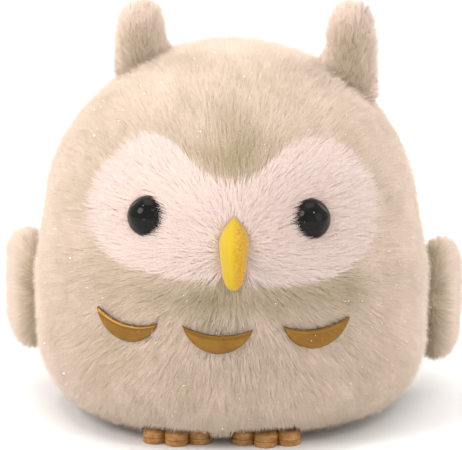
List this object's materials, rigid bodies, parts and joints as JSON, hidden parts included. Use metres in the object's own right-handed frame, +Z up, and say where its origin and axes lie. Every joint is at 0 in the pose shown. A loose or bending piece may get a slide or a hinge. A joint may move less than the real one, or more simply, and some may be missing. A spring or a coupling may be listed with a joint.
{
  "type": "interactive plush pet",
  "caption": "Talking plush owl with a fur body on a flat base, sewn ears and wings, domed eyes, and a motor gearbox that nods its head.",
  "frame": {"origin": "centre of the base's flat underside, on the surface that the toy stands on", "axes": "+Z up, the owl faces -Y, +X to the viewer's right when facing it"},
  "size_m": [0.157, 0.1374, 0.1385],
  "materials": {
    "grey_fur": "long-pile plush fur with a fine glitter",
    "white_fur": "soft white plush fur",
    "wing_fur": "short plush fur",
    "fibre_fill": "polyester fibre filling",
    "gold_foil": "glossy foil-printed fabric",
    "beak_velour": "short velour",
    "eye_plastic": "polished black",
    "foot_plastic": "wood-look satin plastic",
    "base_plastic": "moulded, fine texture",
    "housing_plastic": "moulded, satin",
    "frame_plastic": "moulded, satin",
    "gear_plastic": "acetal, waxy",
    "washer_plastic": "natural nylon",
    "tie_nylon": "nylon",
    "steel": "plain turned",
    "screw_steel": "zinc plated",
    "motor_steel": "drawn can",
    "contact_brass": "nickel-flashed spring brass",
    "pinion_brass": "turned",
    "battery_jacket": "plain printed sleeve",
    "board_green": "solder-masked laminate",
    "chip_black": "moulded epoxy",
    "mic_metal": "pressed can",
    "grommet_rubber": "soft, matt",
    "speaker_steel": "painted basket",
    "cone_paper": "doped paper",
    "wire_red": "PVC insulation",
    "knob_black": "fine texture"
  },
  "bodies": {
    "base": {"base_cover": "base_plastic", "base_screws": "screw_steel", "base_tub": "base_plastic", "batteries": "battery_jacket", "battery_contacts": "contact_brass", "battery_leads": "wire_red", "belly_skin": "grey_fur", "belly_wadding": "fibre_fill", "board_components": "chip_black", "circuit_board": "board_green", "crescent_centre": "gold_foil", "crescent_left": "gold_foil", "crescent_right": "gold_foil", "foot_left": "foot_plastic", "foot_right": "foot_plastic", "foot_screws": "screw_steel", "gear_axles": "steel", "gearbox_plate_inner": "frame_plastic", "gearbox_plate_outer": "frame_plastic", "hem_tie": "tie_nylon", "hinge_pin": "steel", "housing_back": "housing_plastic", "housing_front": "housing_plastic", "housing_screws": "screw_steel", "mic_grommet": "grommet_rubber", "mic_leads": "wire_red", "microphone": "mic_metal", "motor_can": "motor_steel", "motor_end_cap": "gear_plastic", "motor_leads": "wire_red", "speaker_cone": "cone_paper", "speaker_frame": "speaker_steel", "speaker_leads": "wire_red", "speaker_magnet": "motor_steel", "switch_body": "chip_black"},
    "head": {"head_frame": "frame_plastic", "head_dome": "frame_plastic", "head_screws": "screw_steel", "head_wadding": "fibre_fill", "head_skin": "grey_fur", "face_mask": "white_fur", "eye_left": "eye_plastic", "eye_right": "eye_plastic", "eye_washers": "washer_plastic", "beak": "beak_velour", "ear_left": "grey_fur", "ear_right": "grey_fur"},
    "crank": {"crank_gear": "gear_plastic", "crank_arm": "steel"},
    "cluster_2": {"gear_2": "gear_plastic"},
    "cluster_1": {"gear_1": "gear_plastic"},
    "rotor": {"motor_pinion": "pinion_brass", "motor_shaft": "steel"},
    "knob": {"switch_knob": "knob_black"},
    "door": {"battery_door": "base_plastic", "door_screw": "screw_steel"},
    "left_wing": {"wing_left": "wing_fur"},
    "right_wing": {"wing_right": "wing_fur"}
  },
  "joints": [
    {"name": "crank_spin", "type": "hinge", "parent": "base", "child": "crank", "pos_m": [-0.018, 0, 0.032], "axis": [1, 0, 0], "range_deg": [-90, 90]},
    {"name": "head_nod", "type": "hinge", "parent": "base", "child": "head", "pos_m": [0, 0, 0.054], "axis": [1, 0, 0], "range_deg": [-5, 5]},
    {"name": "gear_2_spin", "type": "hinge", "parent": "base", "child": "cluster_2", "pos_m": [-0.015, 0.0092, 0.03592], "axis": [1, 0, 0], "range_deg": [-270, 270]},
    {"name": "gear_1_spin", "type": "hinge", "parent": "base", "child": "cluster_1", "pos_m": [-0.013, 0.0114, 0.02617], "axis": [1, 0, 0], "range_deg": [-810, 810]},
    {"name": "motor_spin", "type": "hinge", "parent": "base", "child": "rotor", "pos_m": [-0.01, 0.0017, 0.02525], "axis": [1, 0, 0], "range_deg": [-2700, 2700]},
    {"name": "switch_slide", "type": "slide", "parent": "base", "child": "knob", "axis": [0, 1, 0], "range_m": [0, 0.003]},
    {"name": "door_lift", "type": "slide", "parent": "base", "child": "door", "axis": [0, 0, -1], "range_m": [0, 0.012]},
    {"name": "wing_left_flap", "type": "hinge", "parent": "base", "child": "left_wing", "pos_m": [-0.0687, 0.0149, 0.0342], "axis": [0, 0, 1], "range_deg": [-10, 40], "stiffness_Nm_per_rad": 0.004},
    {"name": "wing_right_flap", "type": "hinge", "parent": "base", "child": "right_wing", "pos_m": [0.0687, 0.0149, 0.0318], "axis": [0, 0, -1], "range_deg": [-10, 40], "stiffness_Nm_per_rad": 0.004}
  ],
  "couplings": [
    {"joint": "head_nod", "follows": "crank_spin", "ratio": 0.055556},
    {"joint": "gear_2_spin", "follows": "crank_spin", "ratio": -3},
    {"joint": "gear_1_spin", "follows": "crank_spin", "ratio": 9},
    {"joint": "motor_spin", "follows": "crank_spin", "ratio": -30}
  ]
}
